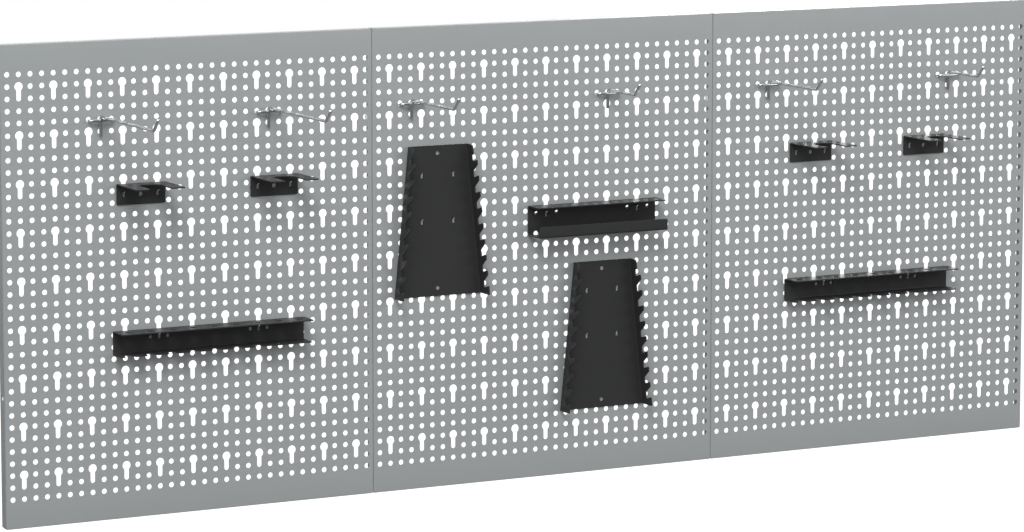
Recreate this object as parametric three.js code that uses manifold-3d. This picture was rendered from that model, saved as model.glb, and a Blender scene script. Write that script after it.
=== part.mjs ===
import * as THREE from 'three';
import { mergeVertices } from 'three/addons/utils/BufferGeometryUtils.js';
import Module from 'manifold-3d';

// Steel tool wall: three perforated panels bolted side by side, with wire hooks and folded sheet
// holders hung on them. Millimetres. X runs along the wall, +Y points into the building's wall and
// +Z is up. The origin is on the back of the centre panel's top lip, half way along it.

const wasm = await Module();
wasm.setup();

// ---- driving dimensions ----
const clearance = 0.3;          // gap between pieces that touch

// panels
const panelWidth = 498.5;
const panelHeight = 598.5;
const panelDepth = 15;
const panelSheet = 1;
const panelBend = 0.8;          // bend radius on the middle of the sheet
const lipWidth = 12;            // lips folded flat to the wall, top and bottom
const holePitch = 15;
const holeRadius = 3.4;
const keyholeRadius = 5.55;
const slotHalfWidth = 3.15;
const holeColumns = 33;
const holeRows = 36;

// joining bolts
const boltDrops = [113, 436];   // below the top edge
const boltRadius = 2.5;
const boltHeadAcross = 8;
const boltHeadHeight = 3.5;
const nutHeight = 4;
const boltStickOut = 2;         // thread past the nut

// wire hooks
const wireRadius = 2;
const wireBend = 5;
const prongBend = 3;
const prongRadius = 10;         // the prong is an arc about the hook's hinge line
const prongArc = 65;
const hingeOut = 1.3;           // hinge line in front of the panel's face
const legDrop = 21;             // lower end of the leg below the hook's row of holes
const tipLength = 20.5;
const tipAngle = 45;

// folded sheet holders
const sheet = 1.5;
const sheetBend = 2.25;
const tongueSheet = 1.2;
const tongueWidth = 2.8;
const tongueReach = 7;          // behind the panel's face
const tongueSlope = 30;         // below level
const windowHeight = 7.2;
const plateHoleRadius = 2.4;
const middleHoleRadius = 2.9;
const plateHoleDrop = 2.8;      // plate holes below the tongues' seats

// pliers brackets
const bracketWidth = 64.6;
const bracketHeight = 26.9;
const bracketRise = 8.7;        // top of the shelf above the row it hangs on
const bracketCorner = 2.8;
const shelfDepth = 68;
const forkGap = 29;
const forkRoot = 22;            // shelf left behind the fork

// screwdriver racks
const railLength = 258.5;
const railHeight = 30;
const railRise = 5.3;
const railDepth = 33;
const railFootDepth = 27;
const shaftCount = 9;
const shaftPitch = 29;
const notchCount = 7;           // the other places have round holes in the foot as well
const shaftOut = 19.5;          // tool centre line in front of the panel's face
const shaftHoleRadius = 4.5;
const notchRoot = 7.2;
const notchMouth = 14.5;
const notchLength = 14;

// small parts tray
const trayLength = 188.6;
const trayHeight = 39.5;
const trayRise = 7.3;
const trayTopDepth = 31;
const trayDepth = 36;
const trayLip = 15;
const drainRadius = 4.2;

// wrench racks
const wrenchTop = 85.2;
const wrenchBottom = 125;
const wrenchHeight = 195;
const wrenchRise = 33.25;
const toothReach = 27;
const toothPitch = 20.7;
const toothFace = 6.4;
const toothCount = 9;
const firstTooth = 18.3;
const wrenchTopReach = 18;
const notchBack = 13;

// ---- places ----
const topEdge = lipWidth / 2;
const faceY = -panelDepth;
const panelPitch = panelWidth + clearance;
const marginX = (panelWidth - (holeColumns - 1) * holePitch) / 2;
const marginZ = (panelHeight - (holeRows - 1) * holePitch) / 2;
const columnX = (panel, column) =>
  panel * panelPitch - panelWidth / 2 + marginX + column * holePitch;
const rowZ = (row) => topEdge - marginZ - row * holePitch;

// ---- solids ----
const merged = (geometry) => {
  geometry.deleteAttribute('normal');
  geometry.deleteAttribute('uv');
  return mergeVertices(geometry, 1e-4);
};

const solid = (geometry) => {
  const clean = merged(geometry);
  const mesh = new wasm.Mesh({
    numProp: 3,
    vertProperties: new Float32Array(clean.attributes.position.array),
    triVerts: new Uint32Array(clean.index.array),
  });
  return new wasm.Manifold(mesh);
};

const join = (first, ...others) => others.reduce((sum, next) => sum.add(next), first);
const cut = (first, others) => others.reduce((sum, next) => sum.subtract(next), first);

const block = (x0, x1, y0, y1, z0, z1) => {
  const geometry = new THREE.BoxGeometry(x1 - x0, y1 - y0, z1 - z0);
  return solid(geometry.translate((x0 + x1) / 2, (y0 + y1) / 2, (z0 + z1) / 2));
};

const along = {
  x: new THREE.Matrix4().makeRotationZ(-Math.PI / 2),
  y: new THREE.Matrix4(),
  z: new THREE.Matrix4().makeRotationX(Math.PI / 2),
};

// a round bar between two heights on one axis
const bar = (axis, centre, radius, low, high, sides = 20) => {
  const geometry = new THREE.CylinderGeometry(radius, radius, high - low, sides);
  geometry.applyMatrix4(along[axis]);
  const place = { x: [0, 0, 0], y: [0, 0, 0], z: [0, 0, 0] }[axis];
  const index = 'xyz'.indexOf(axis);
  const others = [0, 1, 2].filter((i) => i !== index);
  place[index] = (low + high) / 2;
  place[others[0]] = centre[0];
  place[others[1]] = centre[1];
  return solid(geometry.translate(...place));
};

// an outline given in the two axes square to the one it is drawn along
const drawn = (axis, outline, low, high) => {
  const shape = new THREE.Shape(outline.map(([u, v]) => new THREE.Vector2(u, v)));
  const geometry = new THREE.ExtrudeGeometry(shape, { depth: high - low, bevelEnabled: false });
  const x = new THREE.Vector3(1, 0, 0);
  const y = new THREE.Vector3(0, 1, 0);
  const z = new THREE.Vector3(0, 0, 1);
  const frames = {
    x: new THREE.Matrix4().makeBasis(y, z, x).setPosition(low, 0, 0),
    y: new THREE.Matrix4().makeBasis(x, z, y.clone().negate()).setPosition(0, high, 0),
    z: new THREE.Matrix4().setPosition(0, 0, low),
  };
  return solid(geometry.applyMatrix4(frames[axis]));
};

// corners [u, v, radius] turned into a smooth outline
const rounded = (corners, steps = 3) => corners.flatMap(([u, v, radius = 0], i) => {
  if (radius === 0) return [[u, v]];
  const here = new THREE.Vector2(u, v);
  const before = new THREE.Vector2(...corners.at(i - 1)).sub(here);
  const after = new THREE.Vector2(...corners[(i + 1) % corners.length]).sub(here);
  const half = Math.acos(before.clone().normalize().dot(after.clone().normalize())) / 2;
  const run = Math.min(radius / Math.tan(half), 0.48 * Math.min(before.length(), after.length()));
  const from = before.setLength(run).add(here);
  const to = after.setLength(run).add(here);
  return Array.from({ length: steps + 1 }, (_, k) => {
    const t = k / steps;
    const point = new THREE.QuadraticBezierCurve(from, here, to).getPoint(t);
    return [point.x, point.y];
  });
});

// the outline of a bent sheet whose middle follows the given corners
const bentSheet = (corners, thickness, bend, steps = 3) => {
  const path = corners.map(([u, v]) => new THREE.Vector2(u, v));
  const left = [];
  const right = [];
  const put = (point, direction) => {
    const side = new THREE.Vector2(-direction.y, direction.x).multiplyScalar(thickness / 2);
    left.push([point.x + side.x, point.y + side.y]);
    right.push([point.x - side.x, point.y - side.y]);
  };
  const way = (i) => path[i + 1].clone().sub(path[i]).normalize();
  put(path[0], way(0));
  for (let i = 1; i < path.length - 1; i += 1) {
    const turn = Math.asin(THREE.MathUtils.clamp(way(i - 1).cross(way(i)), -1, 1));
    const run = bend * Math.tan(Math.abs(turn) / 2);
    const start = path[i].clone().addScaledVector(way(i - 1), -run);
    const inward = new THREE.Vector2(-way(i - 1).y, way(i - 1).x).multiplyScalar(bend * Math.sign(turn));
    const centre = start.clone().add(inward);
    for (let k = 0; k <= steps; k += 1) {
      const angle = (turn * k) / steps;
      put(start.clone().rotateAround(centre, angle), way(i - 1).rotateAround(new THREE.Vector2(), angle));
    }
  }
  put(path.at(-1), way(path.length - 2));
  return [...left, ...right.reverse()];
};

const material = (color, roughness, metalness) =>
  new THREE.MeshStandardMaterial({ color, roughness, metalness });

const tool = new THREE.Group();

const addSolid = (name, body, look) => {
  const { vertProperties, triVerts } = body.getMesh();
  const geometry = new THREE.BufferGeometry();
  geometry.setAttribute('position', new THREE.BufferAttribute(new Float32Array(vertProperties), 3));
  geometry.setIndex(new THREE.BufferAttribute(new Uint32Array(triVerts), 1));
  geometry.computeVertexNormals();
  const mesh = new THREE.Mesh(geometry, look);
  mesh.name = name;
  tool.add(mesh);
};

const panelLook = () => material(0x9a9d9f, 0.45, 0.2);
const holderLook = () => material(0x2b2d2e, 0.35, 0.3);
const wireLook = () => material(0xd8dadc, 0.12, 1);
const boltLook = () => material(0xb4b6b8, 0.35, 1);

// ---- panels ----
const keyhole = (x, z) => {
  const head = bar('y', [x, z], keyholeRadius, faceY - 1, faceY + panelSheet + 1, 24);
  const foot = z - holePitch;
  const slot = block(x - slotHalfWidth, x + slotHalfWidth, faceY - 1, faceY + panelSheet + 1, foot, z);
  return join(head, slot, bar('y', [x, foot], slotHalfWidth, faceY - 1, faceY + panelSheet + 1));
};

const roundHole = (x, z) => bar('y', [x, z], holeRadius, faceY - 1, faceY + panelSheet + 1);

const panel = (index, holes) => {
  const x0 = index * panelPitch - panelWidth / 2;
  const x1 = x0 + panelWidth;
  const z0 = topEdge - panelHeight;
  const half = panelSheet / 2;
  const corner = panelBend + half;
  const folded = bentSheet([
    [-half, topEdge - lipWidth],
    [-half, topEdge - half],
    [faceY + half, topEdge - half],
    [faceY + half, z0 + half],
    [-half, z0 + half],
    [-half, z0 + lipWidth],
  ], panelSheet, panelBend);
  const front = drawn('x', folded, x0 + corner, x1 - corner);
  const sides = [[x0, 1], [x1, -1]].map(([edge, inward]) => {
    const flange = bentSheet([
      [edge + inward * (corner + panelSheet), faceY + half],
      [edge + inward * half, faceY + half],
      [edge + inward * half, 0],
    ], panelSheet, panelBend);
    return drawn('z', flange, z0 + corner, topEdge - corner);
  });
  const bolts = [x0, x1].flatMap((edge) => boltDrops.map((drop) =>
    bar('x', [faceY / 2, topEdge - drop], boltRadius + clearance, edge - 3, edge + 3)));
  return cut(join(front, ...sides), [...holes, ...bolts]);
};

// ---- joining bolts and nuts ----
const hexagon = (x0, x1, z) => bar('x', [faceY / 2, z], boltHeadAcross / Math.sqrt(3), x0, x1, 6);

const boltPair = (side, level, drop) => {
  const seam = side * panelPitch / 2;
  const z = topEdge - drop;
  const grip = clearance / 2 + panelSheet + clearance;
  const head = hexagon(seam - grip - boltHeadHeight, seam - grip, z);
  const end = seam + grip + nutHeight + boltStickOut;
  const shank = bar('x', [faceY / 2, z], boltRadius, seam - grip - 1, end);
  const nut = hexagon(seam + grip, seam + grip + nutHeight, z);
  const thread = bar('x', [faceY / 2, z], boltRadius + clearance, seam, end);
  const name = `${side < 0 ? 'left' : 'right'}_seam_${level}`;
  addSolid(`${name}_bolt`, join(head, shank), boltLook());
  addSolid(`${name}_nut`, cut(nut, [thread]), boltLook());
};

// ---- wire hooks ----
// a wire whose rings stand only where it bends
class BentWire extends THREE.Curve {
  constructor(points) {
    super();
    this.points = points;
  }

  getPoint(t, target = new THREE.Vector3()) {
    const place = t * (this.points.length - 1);
    const i = Math.min(Math.floor(place), this.points.length - 2);
    return target.lerpVectors(this.points[i], this.points[i + 1], place - i);
  }

  getTangent(t, target = new THREE.Vector3()) {
    const i = Math.round(t * (this.points.length - 1));
    const before = this.points[Math.max(i - 1, 0)];
    const here = this.points[i];
    const after = this.points[Math.min(i + 1, this.points.length - 1)];
    const inward = here.clone().sub(before).normalize();
    const outward = after.clone().sub(here).normalize();
    return target.addVectors(inward, outward).normalize();
  }

  getPointAt(u, target) {
    return this.getPoint(u, target);
  }

  getTangentAt(u, target) {
    return this.getTangent(u, target);
  }
}

const arcPoints = (centre, from, to, angle, steps) => Array.from({ length: steps + 1 }, (_, k) => {
  const a = THREE.MathUtils.degToRad((angle * k) / steps);
  return centre.clone().addScaledVector(from, Math.cos(a)).addScaledVector(to, Math.sin(a));
});

const wire = (points) => {
  const section = new THREE.Shape().absarc(0, 0, wireRadius, 0, 2 * Math.PI);
  return solid(new THREE.ExtrudeGeometry(section, {
    steps: points.length - 1,
    curveSegments: 7,
    extrudePath: new BentWire(points),
  }));
};

// the prongs rest on the bottoms of their holes, the leg lies on the panel, and the crossbar lies
// in the bend between the leg and the arm
const prongDrop = holeRadius - wireRadius - clearance * 0.8;
const legOut = wireRadius + clearance;
const wireGap = 2 * wireRadius + clearance;
const crossbarOut = legOut + wireGap;

const crossbar = (x, z) => {
  const level = z - prongDrop;
  const end = (side) => {
    const edge = x + side * holePitch;
    const centreY = faceY - crossbarOut + prongBend;
    const bend = arcPoints(new THREE.Vector3(edge - side * prongBend, centreY, level),
      new THREE.Vector3(0, -prongBend, 0), new THREE.Vector3(side * prongBend, 0, 0), 90, 4);
    const hinge = new THREE.Vector3(edge, faceY - hingeOut, level + prongRadius);
    const prong = arcPoints(hinge, new THREE.Vector3(0, 0, -prongRadius),
      new THREE.Vector3(0, prongRadius, 0), prongArc, 5);
    return [...bend, ...prong];
  };
  return wire([...end(-1).reverse(), ...end(1)]);
};

const hookArm = (x, z, reach) => {
  const level = z - prongDrop;
  const armZ = level + wireGap;
  const tip = THREE.MathUtils.degToRad(tipAngle);
  const cornerY = faceY - reach;
  const run = wireBend * Math.tan(tip / 2);
  const bend = arcPoints(new THREE.Vector3(x, faceY - crossbarOut, level),
    new THREE.Vector3(0, wireGap, 0), new THREE.Vector3(0, 0, wireGap), 90, 5);
  const upturn = arcPoints(new THREE.Vector3(x, cornerY + run, armZ + wireBend),
    new THREE.Vector3(0, 0, -wireBend), new THREE.Vector3(0, -wireBend, 0), tipAngle, 3);
  const end = new THREE.Vector3(x, cornerY - tipLength * Math.cos(tip), armZ + tipLength * Math.sin(tip));
  return wire([new THREE.Vector3(x, faceY - legOut, z - legDrop), ...bend, ...upturn, end]);
};

// ---- sheet holders ----
const backY = faceY - clearance;
const frontY = backY - sheet;
const middleY = backY - sheet / 2;
const slope = Math.tan(THREE.MathUtils.degToRad(tongueSlope));
const tongueHeight = tongueSheet / Math.cos(THREE.MathUtils.degToRad(tongueSlope));

// the lowest a tongue may lie in a hole that is round at the bottom
const seat = (z, radius) => z - Math.sqrt(radius ** 2 - (tongueWidth / 2) ** 2) + clearance;

// a tongue is pressed out of a window in the plate and slants down behind the panel
const tongueWindow = (x, z, radius) => {
  const top = seat(z, radius) + slope * (panelSheet + clearance) + tongueHeight / 2;
  const half = tongueWidth / 2 + clearance;
  return block(x - half, x + half, frontY - 1, backY + 1, top - windowHeight, top);
};

const tongue = (x, z, radius) => {
  const under = (y) => seat(z, radius) + slope * (faceY + panelSheet - y);
  const tip = faceY + tongueReach;
  return drawn('x', [
    [frontY, under(frontY)],
    [tip, under(tip)],
    [tip, under(tip) + tongueHeight],
    [frontY, under(frontY) + tongueHeight],
  ], x - tongueWidth / 2, x + tongueWidth / 2);
};

const hung = (body, spots, radius) => {
  const open = cut(body, spots.map(([x, z]) => tongueWindow(x, z, radius)));
  return join(open, ...spots.map(([x, z]) => tongue(x, z, radius)));
};

const plateHole = (x, z, radius = plateHoleRadius) => bar('y', [x, z], radius, frontY - 1, backY + 1, 16);
const besideWindow = (z, radius) => seat(z, radius) - plateHoleDrop;

const pliersBracket = (columns, panelIndex, row, radius) => {
  const z = rowZ(row);
  const xs = columns.map((column) => columnX(panelIndex, column));
  const x = (xs[0] + xs[1]) / 2;
  const half = bracketWidth / 2;
  const top = z + bracketRise;
  const tipY = faceY - shelfDepth;
  const shell = drawn('x', bentSheet([
    [middleY, top - bracketHeight],
    [middleY, top - sheet / 2],
    [tipY, top - sheet / 2],
  ], sheet, sheetBend), x - half, x + half);
  const outline = rounded([
    [x - half, top - bracketHeight, bracketCorner],
    [x + half, top - bracketHeight, bracketCorner],
    [x + half, top + 1],
    [x - half, top + 1],
  ]);
  const plan = rounded([
    [x - half, tipY, bracketCorner],
    [x + half, tipY, bracketCorner],
    [x + half, backY + 1],
    [x - half, backY + 1],
  ]);
  const trimmed = shell.intersect(drawn('y', outline, tipY - 1, backY + 1))
    .intersect(drawn('z', plan, top - bracketHeight - 1, top + 1));
  const rootY = faceY - forkRoot;
  const fork = drawn('z', rounded([
    [x - forkGap / 2, tipY - 5],
    [x + forkGap / 2, tipY - 5],
    [x + forkGap / 2, rootY, forkGap * 0.49],
    [x - forkGap / 2, rootY, forkGap * 0.49],
  ], 6), top - sheet - 4, top + 1);
  const holes = [fork, plateHole(x, besideWindow(z, radius), middleHoleRadius)];
  return hung(cut(trimmed, holes), xs.map((at) => [at, z]), radius);
};

const screwdriverRack = (columns, panelIndex, row, radius) => {
  const z = rowZ(row);
  const xs = columns.map((column) => columnX(panelIndex, column));
  const x0 = (xs[0] + xs[1]) / 2 - railLength / 2;
  const top = z + railRise;
  const tipY = faceY - railFootDepth;
  const shell = drawn('x', bentSheet([
    [faceY - railDepth, top - sheet / 2],
    [middleY, top - sheet / 2],
    [middleY, top - railHeight + sheet / 2],
    [tipY, top - railHeight + sheet / 2],
  ], sheet, sheetBend), x0, x0 + railLength);
  const rootY = tipY + notchLength;
  const shafts = Array.from({ length: shaftCount }, (_, i) =>
    x0 + railLength / 2 + (i - (shaftCount - 1) / 2) * shaftPitch);
  const holes = shafts.map((x, i) => bar('z', [x, faceY - shaftOut], shaftHoleRadius,
    i < notchCount ? top - sheet - 2 : top - railHeight - 1, top + 1));
  const notches = shafts.slice(0, notchCount).map((x) => {
    const flare = (notchMouth - notchRoot) / 2 * (1 + 2 / notchLength);
    const outline = rounded([
      [x - notchRoot / 2 - flare, tipY - 2],
      [x + notchRoot / 2 + flare, tipY - 2],
      [x + notchRoot / 2, rootY, 1.5],
      [x - notchRoot / 2, rootY, 1.5],
    ]);
    return drawn('z', outline, top - railHeight - 1, top - railHeight + sheet + 2);
  });
  const screwHoles = xs.flatMap((x) => [-1, 1].map((side) =>
    plateHole(x + side * 0.77 * holePitch, besideWindow(z, radius))));
  return hung(cut(shell, [...holes, ...notches, ...screwHoles]), xs.map((at) => [at, z]), radius);
};

const smallPartsTray = (columns, panelIndex, row, radius) => {
  const z = rowZ(row);
  const xs = columns.map((column) => columnX(panelIndex, column));
  const x0 = (xs[0] + xs[1]) / 2 - trayLength / 2;
  const top = z + trayRise;
  const floor = top - trayHeight;
  const lipY = faceY - trayDepth + sheet / 2;
  const shell = drawn('x', bentSheet([
    [faceY - trayTopDepth, top - sheet / 2],
    [middleY, top - sheet / 2],
    [middleY, floor + sheet / 2],
    [lipY, floor + sheet / 2],
    [lipY, floor + trayLip],
  ], sheet, sheetBend), x0, x0 + trayLength);
  const drains = xs.map((x, i) => x + (i === 0 ? -1 : 1) * holePitch).flatMap((x) => [
    plateHole(x, floor + 2, drainRadius),
    bar('z', [x, frontY - 3], drainRadius, floor - 1, floor + 2, 16),
  ]);
  const screwHoles = xs.flatMap((x) => [-1, 1].map((side) =>
    plateHole(x + side * holePitch, z - slotHalfWidth)));
  return hung(cut(shell, [...drains, ...screwHoles]), xs.map((at) => [at, z]), radius);
};

const wrenchRack = (columns, panelIndex, rows, radius) => {
  const zs = rows.map((row) => rowZ(row));
  const xs = columns.map((column) => columnX(panelIndex, column));
  const x = (xs[0] + xs[1]) / 2;
  const top = zs[0] + wrenchRise;
  const bottom = top - wrenchHeight;
  const plate = drawn('y', [
    [x - wrenchBottom / 2, bottom],
    [x + wrenchBottom / 2, bottom],
    [x + wrenchTop / 2, top],
    [x - wrenchTop / 2, top],
  ], frontY, backY);
  const lean = Math.atan2((wrenchBottom - wrenchTop) / 2, wrenchHeight);
  const length = wrenchHeight / Math.cos(lean);
  const mouth = toothPitch - toothFace;
  const notches = Array.from({ length: toothCount }, (_, i) => {
    const tip = -firstTooth - i * toothPitch;
    const upper = i === 0 ? [-wrenchTopReach, tip + 0.45 * mouth, 1] : [-toothReach, tip + mouth, 1];
    return [
      upper,
      [-notchBack, tip + 0.3 * mouth, 1.5],
      [-notchBack, tip - 0.31 * mouth, 2.5],
      [-toothReach, tip, 1.2],
    ];
  }).flat();
  const profile = rounded([
    [-clearance, 0],
    [-wrenchTopReach, 0, 5],
    ...notches,
    [-toothReach, -length + 1, 2],
    [-clearance, -length],
  ], 2).map(([y, z]) => [y + faceY, z]);
  const flanges = [-1, 1].map((side) => {
    const flat = side < 0 ? [0, sheet] : [-sheet, 0];
    return drawn('x', profile, ...flat)
      .rotate([0, -side * THREE.MathUtils.radToDeg(lean), 0])
      .translate([x + side * wrenchTop / 2, 0, top]);
  });
  const trimmed = join(plate, ...flanges)
    .intersect(block(x - wrenchBottom, x + wrenchBottom, faceY - 2 * toothReach, backY, bottom, top));
  const middleHoles = [top - 10, bottom + 10.5].map((z) => plateHole(x, z, middleHoleRadius));
  const spots = zs.flatMap((z) => xs.map((at) => [at, z]));
  return hung(cut(trimmed, middleHoles), spots, radius);
};

// ---- where everything hangs ----
// panel: -1 left, 0 centre, 1 right; a hook's column is the one between its two prongs
const hookRow = 4;
const hooks = [
  { panel: -1, column: 8, reach: 175 },
  { panel: -1, column: 23, reach: 175 },
  { panel: 0, column: 3, reach: 125 },
  { panel: 0, column: 22, reach: 75 },
  { panel: 1, column: 5, reach: 125 },
  { panel: 1, column: 24, reach: 75 },
];
const slotted = (panelIndex, columns, rows) => rows.flatMap((row) =>
  columns.map((column) => keyhole(columnX(panelIndex, column), rowZ(row - 1))));
const plain = (panelIndex, columns, rows) => rows.flatMap((row) =>
  columns.map((column) => roundHole(columnX(panelIndex, column), rowZ(row))));
const prongHoles = (panelIndex) => hooks.filter((hook) => hook.panel === panelIndex)
  .flatMap(({ column }) => plain(panelIndex, [column - 1, column + 1], [hookRow]));

addSolid('left_panel', panel(-1, [
  ...prongHoles(-1),
  ...slotted(-1, [10, 13, 22, 25], [10]),
  ...slotted(-1, [13, 22], [22]),
]), panelLook());
addSolid('centre_panel', panel(0, [
  ...prongHoles(0),
  ...slotted(0, [4, 7], [10, 14]),
  ...slotted(0, [16, 25], [14]),
  ...plain(0, [20, 23], [21, 25]),
]), panelLook());
addSolid('right_panel', panel(1, [
  ...prongHoles(1),
  ...plain(1, [8, 11, 20, 23], [10]),
  ...plain(1, [11, 20], [22]),
]), panelLook());

[-1, 1].forEach((side) => {
  boltPair(side, 'upper', boltDrops[0]);
  boltPair(side, 'lower', boltDrops[1]);
});

hooks.forEach(({ panel: panelIndex, column, reach }, i) => {
  const x = columnX(panelIndex, column);
  addSolid(`hook_${i + 1}_crossbar`, crossbar(x, rowZ(hookRow)), wireLook());
  addSolid(`hook_${i + 1}_arm`, hookArm(x, rowZ(hookRow), reach), wireLook());
});

addSolid('pliers_bracket_1', pliersBracket([10, 13], -1, 10, slotHalfWidth), holderLook());
addSolid('pliers_bracket_2', pliersBracket([22, 25], -1, 10, slotHalfWidth), holderLook());
addSolid('pliers_bracket_3', pliersBracket([8, 11], 1, 10, holeRadius), holderLook());
addSolid('pliers_bracket_4', pliersBracket([20, 23], 1, 10, holeRadius), holderLook());
addSolid('left_screwdriver_rack', screwdriverRack([13, 22], -1, 22, slotHalfWidth), holderLook());
addSolid('right_screwdriver_rack', screwdriverRack([11, 20], 1, 22, holeRadius), holderLook());
addSolid('small_parts_tray', smallPartsTray([16, 25], 0, 14, slotHalfWidth), holderLook());
addSolid('upper_wrench_rack', wrenchRack([4, 7], 0, [10, 14], slotHalfWidth), holderLook());
addSolid('lower_wrench_rack', wrenchRack([20, 23], 0, [21, 25], holeRadius), holderLook());

export default tool;
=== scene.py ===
"""A steel tool wall: three perforated panels, wire hooks and folded sheet holders."""

import math

import bmesh
import bpy
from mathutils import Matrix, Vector, noise
from mathutils.geometry import delaunay_2d_cdt


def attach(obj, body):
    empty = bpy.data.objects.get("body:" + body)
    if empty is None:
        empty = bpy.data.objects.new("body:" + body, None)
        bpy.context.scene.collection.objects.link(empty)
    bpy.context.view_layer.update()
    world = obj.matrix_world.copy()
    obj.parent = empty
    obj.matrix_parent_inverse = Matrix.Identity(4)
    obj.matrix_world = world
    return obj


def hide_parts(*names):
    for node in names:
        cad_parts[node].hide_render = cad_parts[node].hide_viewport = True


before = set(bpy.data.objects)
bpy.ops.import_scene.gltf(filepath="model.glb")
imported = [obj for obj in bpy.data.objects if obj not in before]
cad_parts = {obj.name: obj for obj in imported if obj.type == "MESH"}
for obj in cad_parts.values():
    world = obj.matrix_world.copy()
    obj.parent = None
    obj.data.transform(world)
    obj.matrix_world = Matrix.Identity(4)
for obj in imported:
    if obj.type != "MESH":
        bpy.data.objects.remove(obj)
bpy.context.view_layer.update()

MM = 0.001

# ---- sizes in millimetres; holes, wires and shanks are given by their radius ----
CLEARANCE = 0.3

# panels
PANEL_WIDTH = 498.5
PANEL_HEIGHT = 598.5
PANEL_DEPTH = 15.0
PANEL_SHEET = 1.0
PANEL_BEND = 0.8
LIP = 12.0                      # folded flat to the wall, top and bottom
PITCH = 15.0
COLUMNS = 33
ROWS = 36
KEYHOLE_COLUMNS = 3             # a keyhole in every third column
KEYHOLE_ROWS = 4                # and every fourth row
HOLE = 3.4
KEYHOLE = 5.55
SLOT = 3.15                     # half the width of a keyhole's slot

# joining bolts
BOLT_DROPS = (113.0, 436.0)     # below the top edge
BOLT = 2.5
BOLT_HOLE = 2.8
HEAD_HEIGHT = 3.5
NUT_HEIGHT = 4
ACROSS_FLATS = 8
STICK_OUT = 2                   # thread past the nut
THREAD_PITCH = 0.8

# wire hooks
HOOK_ROW = 4
WIRE = 2.0
WIRE_BEND = 5
PRONG_BEND = 3
PRONG_ARM = 10                  # a prong is an arc about the hook's hinge line
PRONG_ARC = 65
PRONG_PLAY = 0.24               # under a prong, in its hole
HINGE_OUT = 1.3                 # hinge line in front of the panel's face
LEG_DROP = 21                   # below the hook's row of holes
TIP_LENGTH = 20.5
TIP_ANGLE = 45

# folded sheet holders
SHEET = 1.5
SHEET_BEND = 2.25
CORNER = 1.5
TONGUE_SHEET = 1.2
TONGUE_HALF = 1.4               # half a tongue's width
TONGUE_REACH = 7                # behind the panel's face
TONGUE_SLOPE = math.radians(30)
WINDOW_HALF = 1.7               # half the width of the hole that a tongue is pressed from
WINDOW_HEIGHT = 7.2
PLATE_HOLE = 2.4
MIDDLE_HOLE = 2.9
PLATE_HOLE_DROP = 2.8           # below the tongues' seats
OVERSHOOT = 2                   # how far a cut runs past an open edge

# pliers brackets
BRACKET_ROW = 10
BRACKET_WIDTH = 64.6
BRACKET_HEIGHT = 26.9
BRACKET_RISE = 8.7              # top of the shelf above the row it hangs on
BRACKET_CORNER = 2.8
SHELF_DEPTH = 68
FORK_GAP = 29
FORK_CORNER = 14.2
FORK_ROOT = 22                  # shelf left behind the fork

# screwdriver racks
RAIL_ROW = 22
RAIL_LENGTH = 258.5
RAIL_HEIGHT = 30
RAIL_RISE = 5.3
RAIL_DEPTH = 33
RAIL_FOOT_DEPTH = 27
RAIL_HOLE_SPREAD = 0.77 * PITCH  # plate holes either side of a tongue
SHAFT_COUNT = 9
SHAFT_PITCH = 29
SHAFT_OUT = 19.5                # tools' centre line in front of the panel's face
SHAFT_HOLE = 4.5
NOTCH_COUNT = 7                 # the other places have round holes in the foot
NOTCH_ROOT = 7.2
NOTCH_MOUTH = 14.5
NOTCH_LENGTH = 14

# small parts tray
TRAY_ROW = 14
TRAY_COLUMNS = (16, 25)
TRAY_LENGTH = 188.6
TRAY_HEIGHT = 39.5
TRAY_RISE = 7.3
TRAY_TOP_DEPTH = 31
TRAY_DEPTH = 36
TRAY_LIP = 15
DRAIN = 4.2
DRAIN_RISE = 6.2                # up the back plate from the underside
DRAIN_OUT = 7.2                 # along the tray from the back plate

# wrench racks
WRENCH_TOP = 85.2
WRENCH_BOTTOM = 125
WRENCH_HEIGHT = 195
WRENCH_RISE = 33.25             # top of the rack above its upper tongues
WRENCH_HOLE_DROPS = (10, 184.5)
WRENCH_TOP_REACH = 18
TOOTH_REACH = 27
TOOTH_PITCH = 20.7
TOOTH_FACE = 6.4
TOOTH_COUNT = 9
FIRST_TOOTH = 18.3              # tooth's tip below the top of the rack
MOUTH_BACK = 13                 # end of a mouth, in front of the panel's face

# ---- places ----
TOP_EDGE = LIP / 2
FACE = -PANEL_DEPTH
PANEL_PITCH = PANEL_WIDTH + CLEARANCE
SIDE_MARGIN = (PANEL_WIDTH - (COLUMNS - 1) * PITCH) / 2
TOP_MARGIN = (PANEL_HEIGHT - (ROWS - 1) * PITCH) / 2
BACK = FACE - CLEARANCE         # back, front and middle of a holder's plate
FRONT = BACK - SHEET
MIDDLE = BACK - SHEET / 2


def column_x(panel, column):
    return panel * PANEL_PITCH - PANEL_WIDTH / 2 + SIDE_MARGIN + column * PITCH


def row_z(row):
    return TOP_EDGE - TOP_MARGIN - row * PITCH


# ---- finishes ----
def new_finish(name, slot):
    finish = bpy.data.materials.new(name)
    finish.use_nodes = True
    finish["slot"] = slot
    nodes = finish.node_tree.nodes
    return finish, nodes, finish.node_tree.links, nodes["Principled BSDF"]


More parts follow.
